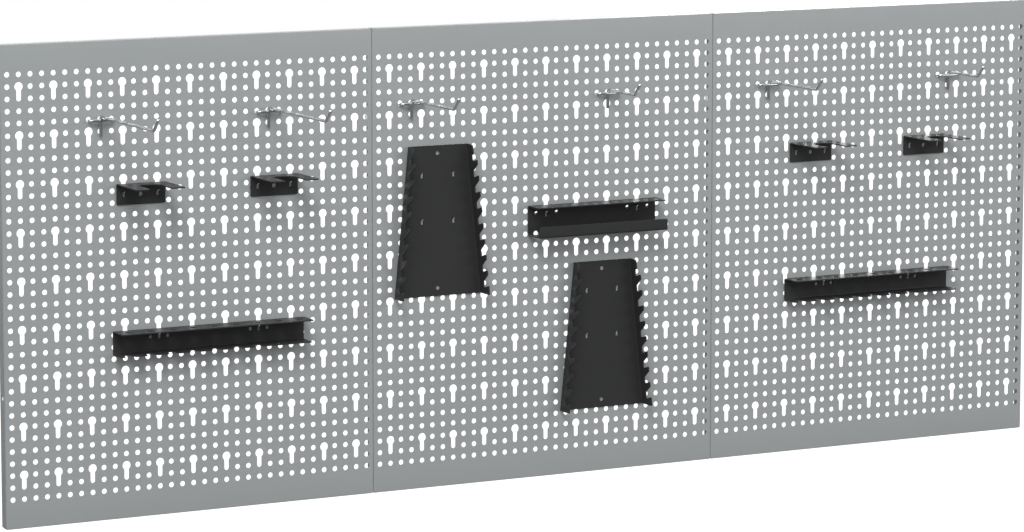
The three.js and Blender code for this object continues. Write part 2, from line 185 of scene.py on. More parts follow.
def cloudy(nodes, links, scale, detail, low, high, roughness=0.5):
    """A soft noise in the piece's own space, spread between two values."""
    place = nodes.get("Texture Coordinate") or nodes.new("ShaderNodeTexCoord")
    noise_node = nodes.new("ShaderNodeTexNoise")
    noise_node.inputs["Scale"].default_value = scale
    noise_node.inputs["Detail"].default_value = detail
    noise_node.inputs["Roughness"].default_value = roughness
    links.new(place.outputs["Object"], noise_node.inputs["Vector"])
    spread = nodes.new("ShaderNodeMapRange")
    spread.inputs["From Min"].default_value = 0.3
    spread.inputs["From Max"].default_value = 0.7
    spread.inputs["To Min"].default_value = low
    spread.inputs["To Max"].default_value = high
    links.new(noise_node.outputs["Fac"], spread.inputs["Value"])
    return spread.outputs["Result"]


def blend_colours(nodes, links, factor, first, second):
    mix = nodes.new("ShaderNodeMix")
    mix.data_type = "RGBA"
    for socket, colour in ((mix.inputs["A"], first), (mix.inputs["B"], second)):
        if isinstance(colour, tuple):
            socket.default_value = (*colour, 1)
        else:
            links.new(colour, socket)
    links.new(factor, mix.inputs["Factor"])
    return mix.outputs["Result"]


def raise_surface(nodes, links, shader, heights):
    """Stacks bumps of (height, strength, distance in metres)."""
    last = None
    for height, strength, distance in heights:
        bump = nodes.new("ShaderNodeBump")
        bump.inputs["Strength"].default_value = strength
        bump.inputs["Distance"].default_value = distance
        links.new(height, bump.inputs["Height"])
        if last:
            links.new(last, bump.inputs["Normal"])
        last = bump.outputs["Normal"]
    links.new(last, shader.inputs["Normal"])


def powder_coat(name, slot, colour, deep, thin, gloss, coat, shine=0.5):
    """Baked powder paint: faint clouding, thin patches and orange peel."""
    finish, nodes, links, shader = new_finish(name, slot)
    clouds = cloudy(nodes, links, 5.5, 4, 0, 1)
    specks = cloudy(nodes, links, 1900, 2, 0, 0.3)
    patches = cloudy(nodes, links, 160, 5, 0, 0.16, 0.7)
    tone = blend_colours(nodes, links, clouds, deep, colour)
    tone = blend_colours(nodes, links, specks, tone, deep)
    tone = blend_colours(nodes, links, patches, tone, thin)
    links.new(tone, shader.inputs["Base Color"])
    links.new(cloudy(nodes, links, 38, 5, *gloss), shader.inputs["Roughness"])
    shader.inputs["Specular IOR Level"].default_value = shine
    shader.inputs["Coat Weight"].default_value = coat
    shader.inputs["Coat Roughness"].default_value = 0.12
    peel = cloudy(nodes, links, 700, 2, 0, 1)
    grit = cloudy(nodes, links, 2600, 1, 0, 1)
    raise_surface(nodes, links, shader, [(peel, 0.1, 0.00004), (grit, 0.05, 0.00002)])
    return finish


def plated(name, slot, bright, dull, rough, streak, mark):
    """Metal plate over drawn wire or pressed steel, with hazing and fine draw marks."""
    finish, nodes, links, shader = new_finish(name, slot)
    haze = cloudy(nodes, links, 60, 5, 0, 1)
    links.new(blend_colours(nodes, links, haze, dull, bright), shader.inputs["Base Color"])
    shader.inputs["Metallic"].default_value = 0.96
    links.new(cloudy(nodes, links, 220, 6, rough[0], rough[1], 0.7), shader.inputs["Roughness"])
    marks = cloudy(nodes, links, streak, 3, 0, 1)
    pits = cloudy(nodes, links, 3200, 2, 0, 1)
    raise_surface(nodes, links, shader, [(marks, mark, 0.00003), (pits, mark / 2, 0.00001)])
    return finish


PANEL_PAINT = powder_coat("light_grey_powder_coat", "panel_paint",
                          (0.345, 0.366, 0.371), (0.338, 0.359, 0.364), (0.36, 0.38, 0.385),
                          (0.42, 0.5), 0.05)
HOLDER_PAINT = powder_coat("black_powder_coat", "holder_paint",
                           (0.034, 0.0345, 0.0348), (0.0305, 0.031, 0.0313), (0.045, 0.045, 0.045),
                           (0.55, 0.66), 0.07, 0.2)
RUBBED_PAINT = powder_coat("rubbed_black_powder_coat", "holder_paint",
                           (0.03, 0.03, 0.03), (0.02, 0.02, 0.02), (0.13, 0.13, 0.13), (0.3, 0.45), 0.1)
CHROME = plated("bright_chrome", "hook_chrome",
                (0.66, 0.67, 0.69), (0.6, 0.61, 0.63), (0.06, 0.12), 900, 0.015)
ZINC = plated("zinc_plate", "zinc",
              (0.72, 0.73, 0.74), (0.52, 0.52, 0.5), (0.25, 0.42), 500, 0.1)


# ---- pieces ----
def put_in_scene(name, data):
    piece = bpy.data.objects.new(name, data)
    bpy.context.scene.collection.objects.link(piece)
    return piece


def mesh_from(name, points, faces):
    """A mesh from points in millimetres."""
    mesh = bpy.data.meshes.new(name)
    mesh.from_pydata([Vector(p) * MM for p in points], [], faces)
    mesh.update()
    return mesh


def hand_over(piece, body, finish, nodes):
    piece.data.materials.clear()
    piece.data.materials.append(finish)
    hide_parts(*nodes)
    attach(piece, body)


def baked(piece):
    """Turns a piece with modifiers into a plain mesh piece of the same name."""
    ready = piece.evaluated_get(bpy.context.evaluated_depsgraph_get())
    mesh = bpy.data.meshes.new_from_object(ready)
    name = piece.name
    bpy.data.objects.remove(piece)
    mesh.name = name
    return put_in_scene(name, mesh)


def rub_edges(piece):
    """Breaks a holder's sharp edges and gives them the second, rubbed paint."""
    bevel = piece.modifiers.new("broken edges", "BEVEL")
    bevel.width = 0.22 * MM
    bevel.segments = 2
    bevel.limit_method = "ANGLE"
    bevel.angle_limit = math.radians(35)
    bevel.harden_normals = True
    bevel.material = 1
    piece.data.shade_smooth()


# ---- flat blanks, cut and folded ----
def ring(u, v, radius):
    """A round hole of 24 sides."""
    angles = [2 * math.pi * i / 24 for i in range(24)]
    return [(u + radius * math.cos(a), v + radius * math.sin(a)) for a in angles]


def oblong(u0, u1, v0, v1):
    return [(u0, v0), (u1, v0), (u1, v1), (u0, v1)]


def rounded_sheet(x, width, length):
    """The outline of a holder's blank, centred on x, with small round corners."""
    left, right = x - width / 2, x + width / 2
    return eased([(left, 0, CORNER), (right, 0, CORNER), (right, length, CORNER), (left, length, CORNER)], 3)


def capsule(u, v0, v1, radius):
    """A slot with round ends, from v0 to v1 outside."""
    angles = [math.pi * i / 12 for i in range(13)]
    top = [(u + radius * math.cos(a), v1 - radius + radius * math.sin(a)) for a in angles]
    foot = [(u - radius * math.cos(a), v0 + radius - radius * math.sin(a)) for a in angles]
    return top + foot


def eased(corners, steps=5):
    """Corners (u, v, radius) turned into a smooth loop."""
    loop = []
    for i, (u, v, *radius) in enumerate(corners):
        if not radius:
            loop.append((u, v))
            continue
        here = Vector((u, v))
        before = Vector(corners[i - 1][:2]) - here
        after = Vector(corners[(i + 1) % len(corners)][:2]) - here
        half = before.angle(after) / 2
        run = min(radius[0] / math.tan(half), 0.48 * min(before.length, after.length))
        start = here + before.normalized() * run
        end = here + after.normalized() * run
        for k in range(steps + 1):
            t = k / steps
            loop.append(tuple((1 - t) ** 2 * start + 2 * t * (1 - t) * here + t * t * end))
    return loop


def inside(point, loop):
    found = False
    x, y = point
    for i, (x1, y1) in enumerate(loop):
        x0, y0 = loop[i - 1][:2]
        if (y0 > y) != (y1 > y) and x < (x1 - x0) * (y - y0) / (y1 - y0) + x0:
            found = not found
    return found


def blank(outline, openings, folds=()):
    """Triangles of a flat sheet, split along its fold lines."""
    points, edges = [], []
    for loop in (outline, *openings):
        first = len(points)
        points += [Vector(p[:2]) for p in loop]
        edges += [(first + i, first + (i + 1) % len(loop)) for i in range(len(loop))]
    for start, end in folds:
        edges.append((len(points), len(points) + 1))
        points += [Vector(start), Vector(end)]
    flat, _, faces, *_ = delaunay_2d_cdt(points, edges, [], 0, 1e-5)
    kept = []
    for face in faces:
        middle = sum((flat[i] for i in face), Vector((0, 0))) / len(face)
        if inside(middle, outline) and not any(inside(middle, loop) for loop in openings):
            kept.append(face)
    return flat, kept


class Fold:
    """The middle of a bent sheet, seen from its end: straight runs joined by round bends."""

    def __init__(self, corners, bend=SHEET_BEND, steps=6):
        self.points = [Vector(corners[0])]
        for before, here, after in zip(corners, corners[1:], corners[2:]):
            inward = (Vector(here) - Vector(before)).normalized()
            outward = (Vector(after) - Vector(here)).normalized()
            turn = inward.angle_signed(outward)
            run = bend * math.tan(abs(turn) / 2)
            start = Vector(here) - inward * run
            side = math.copysign(1, -turn)
            centre = start + Vector((-inward.y, inward.x)) * bend * side
            for k in range(steps + 1):
                arm = start - centre
                angle = abs(turn) * side * k / steps
                c, s = math.cos(angle), math.sin(angle)
                self.points.append(centre + Vector((arm.x * c - arm.y * s, arm.x * s + arm.y * c)))
        self.points.append(Vector(corners[-1]))
        pairs = zip(self.points, [None, *self.points])
        self.points = [here for here, before in pairs if before is None or (here - before).length > 1e-6]
        self.at = [0.0]
        for a, b in zip(self.points, self.points[1:]):
            self.at.append(self.at[-1] + (b - a).length)
        self.length = self.at[-1]

    def station(self, *place):
        """How far along the sheet a place is."""
        place = Vector(place)
        best = (1e9, 0)
        for a, b, start in zip(self.points, self.points[1:], self.at):
            way = b - a
            t = min(max((place - a).dot(way) / way.length_squared, 0), 1)
            best = min(best, ((a + way * t - place).length, start + t * way.length))
        return best[1]

    def place(self, station):
        for i, (low, high) in enumerate(zip(self.at, self.at[1:])):
            if station <= high or i == len(self.at) - 2:
                t = (station - low) / (high - low)
                return self.points[i].lerp(self.points[i + 1], t)


def fold_blank(fold, outline, openings):
    """A blank given by (x, station along the fold), bent into shape."""
    low = min(u for u, *_ in outline) - 5
    high = max(u for u, *_ in outline) + 5
    lines = [((low, s), (high, s)) for s in fold.at[1:-1]]
    flat, faces = blank(outline, openings, lines)
    points = []
    for u, s in flat:
        y, z = fold.place(s)
        points.append((u, y, z))
    return points, faces


def seat(z, radius):
    """Height at which a tongue lies on the lower edge of its hole."""
    return z - math.sqrt(radius ** 2 - TONGUE_HALF ** 2) + CLEARANCE


def tongue_height(y, z, radius):
    """Height of a tongue's middle at a depth y."""
    thick = TONGUE_SHEET / math.cos(TONGUE_SLOPE)
    return seat(z, radius) + math.tan(TONGUE_SLOPE) * (FACE + PANEL_SHEET - y) + thick / 2


def window(x, z, radius):
    top = tongue_height(BACK, z, radius)
    return x - WINDOW_HALF, x + WINDOW_HALF, top - WINDOW_HEIGHT, top


def tongue(x, z, radius):
    """The strip pressed back out of a window, down through the panel's hole."""
    points = []
    steps = 4
    for k in range(steps + 1):
        y = MIDDLE + (FACE + TONGUE_REACH - MIDDLE) * k / steps
        half = TONGUE_HALF if k < steps else TONGUE_HALF - 0.4
        points += [(side * half + x, y, tongue_height(y, z, radius)) for side in (-1, 1)]
    faces = [(2 * k, 2 * k + 1, 2 * k + 3, 2 * k + 2) for k in range(steps)]
    return points, faces


def join_sheets(name, sheets):
    """One mesh of several folded blanks whose shared edges are merged."""
    points, faces = [], []
    for some_points, some_faces in sheets:
        first = len(points)
        points += some_points
        faces += [tuple(first + i for i in face) for face in some_faces]
    mesh = mesh_from(name, points, faces)
    shaped = bmesh.new()
    shaped.from_mesh(mesh)
    bmesh.ops.remove_doubles(shaped, verts=shaped.verts, dist=1e-6)
    loose = [v for v in shaped.verts if not v.link_faces]
    bmesh.ops.delete(shaped, geom=loose, context="VERTS")
    bmesh.ops.recalc_face_normals(shaped, faces=shaped.faces)
    shaped.to_mesh(mesh)
    shaped.free()
    return mesh


def pressed(node, sheets, spots, radius):
    """A black sheet holder with its tongues, edges broken."""
    name = f"{node}_sheet"
    tongues = [tongue(x, z, radius) for x, z in spots]
    piece = put_in_scene(name, join_sheets(name, [*sheets, *tongues]))
    wall = piece.modifiers.new("sheet", "SOLIDIFY")
    wall.thickness = SHEET * MM
    wall.offset = 0
    wall.use_even_offset = True
    rub_edges(piece)
    hand_over(piece, node, HOLDER_PAINT, [node])
    piece.data.materials.append(RUBBED_PAINT)


def plate_windows(fold, spots, radius):
    loops = []
    for x, z in spots:
        left, right, low, high = window(x, z, radius)
        start, end = sorted((fold.station(MIDDLE, low), fold.station(MIDDLE, high)))
        loops.append(eased([(u, v, 0.4) for u, v in oblong(left, right, start, end)], 2))
    return loops


def pliers_bracket(number, panel, columns, radius):
    xs = [column_x(panel, column) for column in columns]
    z = row_z(BRACKET_ROW)
    spots = [(x, z) for x in xs]
    x = sum(xs) / 2
    top = z + BRACKET_RISE
    shelf = top - SHEET / 2
    fold = Fold([(MIDDLE, top - BRACKET_HEIGHT), (MIDDLE, shelf), (FACE - SHELF_DEPTH, shelf)])
    half = BRACKET_WIDTH / 2
    outline = eased([(u, v, BRACKET_CORNER) for u, v in oblong(x - half, x + half, 0, fold.length)])
    root = fold.station(FACE - FORK_ROOT, shelf)
    left, right = x - FORK_GAP / 2, x + FORK_GAP / 2
    end = fold.length + OVERSHOOT
    fork = eased([(left, end), (left, root, FORK_CORNER), (right, root, FORK_CORNER), (right, end)], 10)
    hole = ring(x, fold.station(MIDDLE, seat(z, radius) - PLATE_HOLE_DROP), MIDDLE_HOLE)
    sheet = fold_blank(fold, outline, [fork, hole, *plate_windows(fold, spots, radius)])
    pressed(f"pliers_bracket_{number}", [sheet], spots, radius)


def shaft_notch(x, root, end):
    """A notch that widens towards the rack's edge, run out past it."""
    narrow = NOTCH_ROOT / 2
    flare = (NOTCH_MOUTH - NOTCH_ROOT) / 2 * (1 + OVERSHOOT / NOTCH_LENGTH)
    return eased([(x - narrow, root, 1.5), (x + narrow, root, 1.5),
                  (x + narrow + flare, end + OVERSHOOT), (x - narrow - flare, end + OVERSHOOT)])


def screwdriver_rack(side, panel, columns, radius):
    xs = [column_x(panel, column) for column in columns]
    z = row_z(RAIL_ROW)
    spots = [(x, z) for x in xs]
    middle_x = sum(xs) / 2
    top = z + RAIL_RISE
    tip = FACE - RAIL_FOOT_DEPTH
    high, low = top - SHEET / 2, top - RAIL_HEIGHT + SHEET / 2
    fold = Fold([(FACE - RAIL_DEPTH, high), (MIDDLE, high), (MIDDLE, low), (tip, low)])
    openings = plate_windows(fold, spots, radius)
    root = fold.station(tip + NOTCH_LENGTH, low)
    for i in range(SHAFT_COUNT):
        x = middle_x + SHAFT_PITCH * (i - (SHAFT_COUNT - 1) / 2)
        openings.append(ring(x, fold.station(FACE - SHAFT_OUT, high), SHAFT_HOLE))
        if i < NOTCH_COUNT:
            openings.append(shaft_notch(x, root, fold.length))
        else:
            openings.append(ring(x, fold.station(FACE - SHAFT_OUT, low), SHAFT_HOLE))
    height = seat(z, radius) - PLATE_HOLE_DROP
    for x in xs:
        for way in (-1, 1):
            openings.append(ring(x + way * RAIL_HOLE_SPREAD, fold.station(MIDDLE, height), PLATE_HOLE))
    sheet = fold_blank(fold, rounded_sheet(middle_x, RAIL_LENGTH, fold.length), openings)
    pressed(f"{side}_screwdriver_rack", [sheet], spots, radius)


def small_parts_tray():
    xs = [column_x(0, column) for column in TRAY_COLUMNS]
    z = row_z(TRAY_ROW)
    spots = [(x, z) for x in xs]
    top = z + TRAY_RISE
    underside = top - TRAY_HEIGHT
    high, low = top - SHEET / 2, underside + SHEET / 2
    lip = FACE - TRAY_DEPTH + SHEET / 2
    fold = Fold([(FACE - TRAY_TOP_DEPTH, high), (MIDDLE, high), (MIDDLE, low), (lip, low),
                 (lip, underside + TRAY_LIP)])
    openings = plate_windows(fold, spots, SLOT)
    for x, way in zip(xs, (-1, 1)):
        start = fold.station(MIDDLE, underside + DRAIN_RISE)
        end = fold.station(FRONT - DRAIN_OUT, low)
        openings.append(capsule(x + way * PITCH, start, end, DRAIN))
        for near in (-1, 1):
            openings.append(ring(x + near * PITCH, fold.station(MIDDLE, z - SLOT), PLATE_HOLE))
    sheet = fold_blank(fold, rounded_sheet(sum(xs) / 2, TRAY_LENGTH, fold.length), openings)
    pressed("small_parts_tray", [sheet], spots, SLOT)


def toothed_edge(reach, drop):
    """Corners of a toothed flange: hooked teeth with a mouth above each."""
    corners = [(0, 0), (reach(WRENCH_TOP_REACH), 0, 5)]
    mouth = TOOTH_PITCH - TOOTH_FACE
    tip, back = reach(TOOTH_REACH), reach(MOUTH_BACK)
    for i in range(TOOTH_COUNT):
        level = -FIRST_TOOTH - TOOTH_PITCH * i
        if i == 0:
            corners.append((reach(WRENCH_TOP_REACH), level + 0.45 * mouth, 1))
        else:
            corners.append((tip, level + mouth, 1))
        corners += [(back, level + 0.3 * mouth, 1.5), (back, level - 0.31 * mouth, 2.5), (tip, level, 1.2)]
    return [*corners, (tip, -drop, 2), (0, -drop)]


def wrench_rack(level, columns, rows, radius):
    xs = [column_x(0, column) for column in columns]
    zs = [row_z(row) for row in rows]
    spots = [(x, z) for z in zs for x in xs]
    x = sum(xs) / 2
    top = zs[0] + WRENCH_RISE
    foot = top - WRENCH_HEIGHT
    spread = (WRENCH_BOTTOM - WRENCH_TOP) / 2
    lean = math.atan2(spread, WRENCH_HEIGHT)
    bend = SHEET / 2 + SHEET_BEND

    def half(z):
        return WRENCH_TOP / 2 + (top - z) * spread / WRENCH_HEIGHT

    outline = [(x - half(foot) + bend, foot), (x + half(foot) - bend, foot),
               (x + half(top) - bend, top), (x - half(top) + bend, top)]
    openings = [ring(x, top - drop, MIDDLE_HOLE) for drop in WRENCH_HOLE_DROPS]
    openings += [oblong(*window(at, z, radius)) for at, z in spots]
    flat, faces = blank(outline, openings)
    sheets = [([(u, MIDDLE, v) for u, v in flat], faces)]

    fold = Fold([(-bend, 0), (-SHEET / 2, 0), (-SHEET / 2, FACE - TOOTH_REACH - MIDDLE)])
    corners = toothed_edge(lambda depth: fold.station(-SHEET / 2, FACE - depth - MIDDLE),
                           WRENCH_HEIGHT / math.cos(lean))
    profile = [(u, top + v * math.cos(lean)) for u, v in eased(corners, 4)]
    lines = [((s, top + 5), (s, foot - 5)) for s in fold.at[1:-1]]
    flat, faces = blank(profile, [], lines)
    for side in (-1, 1):
        points = []
        for s, z in flat:
            out, y = fold.place(s)
            points.append((x + side * (half(z) + out), MIDDLE + y, z))
        sheets.append((points, faces))
    pressed(f"{level}_wrench_rack", sheets, spots, radius)


# ---- panels ----
def keyhole_loop():
    """Outline of a keyhole about its head's centre."""
    start = math.asin(SLOT / KEYHOLE)
    head = [start + (2 * math.pi - 2 * start) * i / 18 for i in range(19)]
    loop = [(KEYHOLE * math.sin(a), -KEYHOLE * math.cos(a)) for a in head]
    foot = [math.pi * i / 9 for i in range(10)]
    return loop + [(-SLOT * math.cos(a), -PITCH - SLOT * math.sin(a)) for a in foot]


def cell(name, outline, opening):
    flat, faces = blank(outline, [opening])
    return put_in_scene(name, mesh_from(name, [(u, v, 0) for u, v in flat], faces))


def perforation_tree():
    """Sets round holes and keyholes out on a grid and joins them to the panel's border."""
    tree = bpy.data.node_groups.new("perforation", "GeometryNodeTree")
    for name, kind in (("Border", "Geometry"), ("Round hole cell", "Object"), ("Keyhole cell", "Object"),
                       ("Hole pitch", "Float"), ("Columns", "Int"), ("Rows", "Int"),
                       ("Keyhole every columns", "Int"), ("Keyhole every rows", "Int"),
                       ("Middle of the holes", "Vector"), ("Paint", "Material")):
        tree.interface.new_socket(name, in_out="INPUT", socket_type=f"NodeSocket{kind}")
    tree.interface.new_socket("Panel", in_out="OUTPUT", socket_type="NodeSocketGeometry")
    nodes, links = tree.nodes, tree.links
    given = nodes.new("NodeGroupInput").outputs

    def feed(socket, value):
        if isinstance(value, (int, float)):
            socket.default_value = value
        else:
            links.new(value, socket)

    def sum_of(operation, first, second=0.0):
        node = nodes.new("ShaderNodeMath")
        node.operation = operation
        feed(node.inputs[0], first)
        feed(node.inputs[1], second)
        return node.outputs[0]

    def same(first, second):
        node = nodes.new("FunctionNodeCompare")
        node.operation = "EQUAL"
        feed(node.inputs["A"], first)
        feed(node.inputs["B"], second)
        node.inputs["Epsilon"].default_value = 0.1
        return node.outputs[0]

    def logic(operation, *values):
        node = nodes.new("FunctionNodeBooleanMath")
        node.operation = operation
        for socket, value in zip(node.inputs, values):
            links.new(value, socket)
        return node.outputs[0]

    width = sum_of("MULTIPLY", sum_of("SUBTRACT", given["Columns"], 1.0), given["Hole pitch"])
    height = sum_of("MULTIPLY", sum_of("SUBTRACT", given["Rows"], 1.0), given["Hole pitch"])
    grid = nodes.new("GeometryNodeMeshGrid")
    for socket, value in (("Size X", width), ("Size Y", height),
                          ("Vertices X", given["Columns"]), ("Vertices Y", given["Rows"])):
        links.new(value, grid.inputs[socket])
    place = nodes.new("ShaderNodeSeparateXYZ")
    links.new(nodes.new("GeometryNodeInputPosition").outputs[0], place.inputs[0])
    from_left = sum_of("ADD", place.outputs["X"], sum_of("MULTIPLY", width, 0.5))
    from_top = sum_of("SUBTRACT", sum_of("MULTIPLY", height, 0.5), place.outputs["Y"])
    across = sum_of("DIVIDE", from_left, given["Hole pitch"])
    down = sum_of("DIVIDE", from_top, given["Hole pitch"])
    column = sum_of("MODULO", sum_of("ROUND", across), given["Keyhole every columns"])
    row = sum_of("MODULO", sum_of("ROUND", down), given["Keyhole every rows"])
    keyhole_column = same(column, 1.0)
    head = logic("AND", keyhole_column, same(row, 1.0))
    foot = logic("AND", keyhole_column, same(row, 2.0))
    plain = logic("NOT", logic("OR", head, foot))
    gather = nodes.new("GeometryNodeJoinGeometry")
    for cell_name, chosen in (("Keyhole cell", head), ("Round hole cell", plain)):
        info = nodes.new("GeometryNodeObjectInfo")
        links.new(given[cell_name], info.inputs["Object"])
        spread = nodes.new("GeometryNodeInstanceOnPoints")
        links.new(grid.outputs["Mesh"], spread.inputs["Points"])
        links.new(chosen, spread.inputs["Selection"])
        links.new(info.outputs["Geometry"], spread.inputs["Instance"])
        links.new(spread.outputs[0], gather.inputs[0])
    stand = nodes.new("GeometryNodeTransform")
    stand.inputs["Rotation"].default_value = (math.pi / 2, 0, 0)
    links.new(gather.outputs[0], stand.inputs["Geometry"])
    links.new(given["Middle of the holes"], stand.inputs["Translation"])
    whole = nodes.new("GeometryNodeJoinGeometry")
    links.new(stand.outputs[0], whole.inputs[0])
    links.new(given["Border"], whole.inputs[0])
    real = nodes.new("GeometryNodeRealizeInstances")
    links.new(whole.outputs[0], real.inputs[0])
    merge = nodes.new("GeometryNodeMergeByDistance")
    merge.inputs["Distance"].default_value = 1e-5
    links.new(real.outputs[0], merge.inputs["Geometry"])
    paint = nodes.new("GeometryNodeSetMaterial")
    links.new(merge.outputs[0], paint.inputs["Geometry"])
    links.new(given["Paint"], paint.inputs["Material"])
    links.new(paint.outputs[0], nodes.new("NodeGroupOutput").inputs[0])
    return tree


def run_tree(piece, tree, values):
    """Adds the tree to a piece and fills in its inputs by name."""
    modifier = piece.modifiers.new(tree.name, "NODES")
    modifier.node_group = tree
    for item in tree.interface.items_tree:
        if item.in_out == "INPUT" and item.name in values:
            modifier[item.identifier] = values[item.name]


def panel_border(name, panel):
    """The panel's plain edge, folded flanges and lips, as the middle of the sheet."""
    x0 = panel * PANEL_PITCH - PANEL_WIDTH / 2
    x1 = x0 + PANEL_WIDTH
    z1, z0 = TOP_EDGE, TOP_EDGE - PANEL_HEIGHT
    half = PANEL_SHEET / 2
    corner = PANEL_BEND + half
    y = FACE + half
    left, right = column_x(panel, -0.5), column_x(panel, COLUMNS - 0.5)
    high, low = row_z(-0.5), row_z(ROWS - 0.5)
    opening = [(left + PITCH * i, low) for i in range(COLUMNS)]
    opening += [(right, low + PITCH * i) for i in range(ROWS)]
    opening += [(right - PITCH * i, high) for i in range(COLUMNS)]
    opening += [(left, high - PITCH * i) for i in range(ROWS)]
    flat, faces = blank(oblong(x0 + corner, x1 - corner, z0 + corner, z1 - corner), [opening])
    sheets = [([(u, y, v) for u, v in flat], faces)]
    for edge, way in ((z1, 1), (z0, -1)):
        fold = Fold([(y, edge - way * corner), (y, edge - way * half), (-half, edge - way * half),
                     (-half, edge - way * LIP)], PANEL_BEND, 4)
        sheets.append(fold_blank(fold, oblong(x0 + corner, x1 - corner, 0, fold.length), []))
    for edge, way in ((x0, 1), (x1, -1)):
        fold = Fold([(y, edge + way * corner), (y, edge + way * half), (0, edge + way * half)], PANEL_BEND, 4)
        depth = fold.station(FACE / 2, edge + way * half)
        bolts = [ring(z1 - drop, depth, BOLT_HOLE) for drop in BOLT_DROPS]
        points, faces = fold_blank(fold, oblong(z0 + corner, z1 - corner, 0, fold.length), bolts)
        sheets.append(([(across, depth, along) for along, depth, across in points], faces))
    mesh = join_sheets(name, sheets)
    front = max(mesh.polygons, key=lambda face: face.area)
    if front.normal.y > 0:
        mesh.flip_normals()
    return put_in_scene(name, mesh)


def make_panels():
    half = PITCH / 2
    round_cell = cell("round_hole_cell", oblong(-half, half, -half, half), ring(0, 0, HOLE))
    tall = [(-half, half), (-half, -half), (-half, -3 * half), (half, -3 * half), (half, -half), (half, half)]
    keyhole_cell = cell("keyhole_cell", tall, keyhole_loop())
    tree = perforation_tree()
    for index, node in ((-1, "left_panel"), (0, "centre_panel"), (1, "right_panel")):
        piece = panel_border(f"{node}_sheet", index)
        middle = (index * PANEL_PITCH * MM, (FACE + PANEL_SHEET / 2) * MM, row_z((ROWS - 1) / 2) * MM)
        run_tree(piece, tree, {
            "Round hole cell": round_cell, "Keyhole cell": keyhole_cell, "Hole pitch": PITCH * MM,
            "Columns": COLUMNS, "Rows": ROWS, "Keyhole every columns": KEYHOLE_COLUMNS,
            "Keyhole every rows": KEYHOLE_ROWS, "Middle of the holes": middle, "Paint": PANEL_PAINT})
        wall = piece.modifiers.new("sheet", "SOLIDIFY")
        wall.thickness = PANEL_SHEET * MM
        wall.offset = 0
        piece = baked(piece)
        piece.data.shade_smooth()
        piece.data.set_sharp_from_angle(angle=math.radians(32))
        hand_over(piece, "wall", PANEL_PAINT, [node])
    for helper in (round_cell, keyhole_cell):
        bpy.data.objects.remove(helper)


# ---- hooks ----
def arc(centre, start, end, degrees, steps):
    """Points turning from one arm about a centre towards another."""
    points = []
    for k in range(steps + 1):
        a = math.radians(degrees) * k / steps
        points.append(Vector(centre) + Vector(start) * math.cos(a) + Vector(end) * math.sin(a))
    return points


def wire(name, points, start_round, end_round):
    """A drawn wire through the points, its ends dressed round or left cut."""
    line = bpy.data.curves.new(name, "CURVE")
    line.dimensions = "3D"
    line.bevel_depth = WIRE * MM
    line.bevel_resolution = 4
    line.use_fill_caps = True
    points = [Vector(p) for p in points]
    radii = [1.0] * len(points)
    quarter = [math.radians(18 * k) for k in range(6)]
    for at_start, size in ((True, start_round), (False, end_round)):
        end, back = (points[0], points[1]) if at_start else (points[-1], points[-2])
        way = (end - back).normalized()
        dome = [(end - way * size * (1 - math.sin(a)), 1 - size / WIRE * (1 - math.cos(a))) for a in quarter]
        if at_start:
            points = [p for p, _ in reversed(dome)] + points[1:]
            radii = [r for _, r in reversed(dome)] + radii[1:]
        else:
            points = points[:-1] + [p for p, _ in dome]
            radii = radii[:-1] + [r for _, r in dome]
    spline = line.splines.new("POLY")
    spline.points.add(len(points) - 1)
    for target, point, radius in zip(spline.points, points, radii):
        target.co = (*(point * MM), 1)
        target.radius = max(radius, 0.02)
    piece = baked(put_in_scene(name, line))
    shaped = bmesh.new()
    shaped.from_mesh(piece.data)
    bmesh.ops.remove_doubles(shaped, verts=shaped.verts, dist=1e-7)
    bmesh.ops.recalc_face_normals(shaped, faces=shaped.faces)
    shaped.to_mesh(piece.data)
    shaped.free()
    piece.data.shade_smooth()
    return piece


def weld(name, x, y, z, seed):
    """Beads of weld metal in the corners between the arm and the bar below it."""
    mesh = bpy.data.meshes.new(name)
    shaped = bmesh.new()
    for way in (-1, 1):
        made = bmesh.ops.create_icosphere(shaped, subdivisions=3, radius=1)
        for vertex in made["verts"]:
            lump = 1 + 0.16 * noise.noise(vertex.co * 1.9 + Vector((seed, way, 0)))
            co = vertex.co * lump
            vertex.co = Vector((x + way * 1.6 + co.x, y + co.y * 1.5, z + co.z * 0.9)) * MM
    shaped.to_mesh(mesh)
    shaped.free()
    mesh.shade_smooth()
    return put_in_scene(name, mesh)


